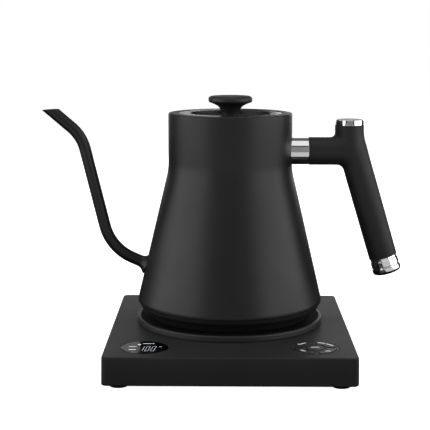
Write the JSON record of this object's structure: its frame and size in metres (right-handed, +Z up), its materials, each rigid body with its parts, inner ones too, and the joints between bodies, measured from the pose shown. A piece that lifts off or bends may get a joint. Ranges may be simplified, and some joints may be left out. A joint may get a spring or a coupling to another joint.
{
  "type": "electric kettle",
  "caption": "Gooseneck electric kettle with a lift-off lid and a leaning grip, standing on a square power base with a round display and a round keypad.",
  "frame": {"origin": "on the floor under the middle of the outer box; the kettle's upright axis stands at x 0.005, y 0.0124", "axes": "+Z up, -X towards the spout's tip, +X towards the handle, -Y towards the display and keypad"},
  "size_m": [0.2611, 0.1857, 0.1866],
  "materials": {
    "black_plastic": "moulded, fine matt texture",
    "black_coat": "matt black powder coat on steel",
    "dark_plastic": "moulded, plain matt",
    "gloss_window": "polished",
    "key_plastic": "moulded, satin",
    "polished_steel": "polished",
    "plain_steel": "as drawn",
    "cast_aluminium": "as pressed",
    "brass_contacts": "turned",
    "rubber": "moulded, matt",
    "silicone": "moulded, translucent white",
    "circuit_board": "solder resist"
  },
  "bodies": {
    "base": {"base_housing": "black_plastic", "base_bottom_plate": "dark_plastic", "rest_disc": "black_plastic", "connector_tower": "dark_plastic", "contact_pin": "brass_contacts", "contact_ring_outer": "brass_contacts", "contact_ring_inner": "brass_contacts", "control_board": "circuit_board", "power_board": "circuit_board", "transformer": "dark_plastic", "power_relay": "dark_plastic", "buzzer": "dark_plastic", "cord_gland": "rubber", "foot_front_left": "rubber", "foot_front_right": "rubber", "foot_rear_left": "rubber", "foot_rear_right": "rubber", "base_screw_front_left": "plain_steel", "base_screw_front_right": "plain_steel", "base_screw_rear_left": "plain_steel", "base_screw_rear_right": "plain_steel", "display_window": "gloss_window", "display_holder": "dark_plastic", "display_panel": "gloss_window", "keypad_bezel": "key_plastic", "key_dome_mat": "silicone"},
    "coupler": {"kettle_coupler": "dark_plastic", "coupler_seal": "silicone"},
    "kettle": {"kettle_body": "black_coat", "spout": "black_coat", "heater_plate": "plain_steel", "diffuser_plate": "cast_aluminium", "heating_element": "plain_steel", "element_terminal_left": "plain_steel", "element_terminal_right": "plain_steel", "temperature_probe": "plain_steel", "probe_seal": "silicone", "thermal_cutout": "cast_aluminium", "bottom_cover": "dark_plastic", "cover_screw_1": "plain_steel", "cover_screw_2": "plain_steel", "cover_screw_3": "plain_steel", "handle_stud": "plain_steel", "handle_collar": "polished_steel", "handle_grip": "black_plastic", "handle_top_cap": "polished_steel", "handle_weight": "polished_steel", "handle_weight_stud": "plain_steel"},
    "lid": {"lid_cap": "black_coat", "lid_plug": "dark_plastic", "lid_gasket": "silicone", "knob_washer": "silicone", "lid_knob": "black_plastic", "knob_screw": "plain_steel"},
    "centre_key": {"key_centre": "key_plastic"},
    "rear_right_key": {"key_rear_right": "key_plastic"},
    "rear_left_key": {"key_rear_left": "key_plastic"},
    "front_left_key": {"key_front_left": "key_plastic"},
    "front_right_key": {"key_front_right": "key_plastic"}
  },
  "joints": [
    {"name": "kettle_lift", "type": "slide", "parent": "base", "child": "coupler", "axis": [0, 0, 1], "range_m": [0, 0.1]},
    {"name": "kettle_swivel", "type": "hinge", "parent": "coupler", "child": "kettle", "pos_m": [0.005, 0.0124, 0.03], "axis": [0, 0, 1], "continuous": true},
    {"name": "lid_lift", "type": "slide", "parent": "kettle", "child": "lid", "axis": [0, 0, 1], "range_m": [0, 0.05]},
    {"name": "centre_key_press", "type": "slide", "parent": "base", "child": "centre_key", "axis": [0, 0, -1], "range_m": [0, 0.0005], "stiffness_N_per_m": 120, "springref_m": -0.002},
    {"name": "rear_right_key_press", "type": "slide", "parent": "base", "child": "rear_right_key", "axis": [0, 0, -1], "range_m": [0, 0.0005], "stiffness_N_per_m": 120, "springref_m": -0.002},
    {"name": "rear_left_key_press", "type": "slide", "parent": "base", "child": "rear_left_key", "axis": [0, 0, -1], "range_m": [0, 0.0005], "stiffness_N_per_m": 120, "springref_m": -0.002},
    {"name": "front_left_key_press", "type": "slide", "parent": "base", "child": "front_left_key", "axis": [0, 0, -1], "range_m": [0, 0.0005], "stiffness_N_per_m": 120, "springref_m": -0.002},
    {"name": "front_right_key_press", "type": "slide", "parent": "base", "child": "front_right_key", "axis": [0, 0, -1], "range_m": [0, 0.0005], "stiffness_N_per_m": 120, "springref_m": -0.002}
  ]
}
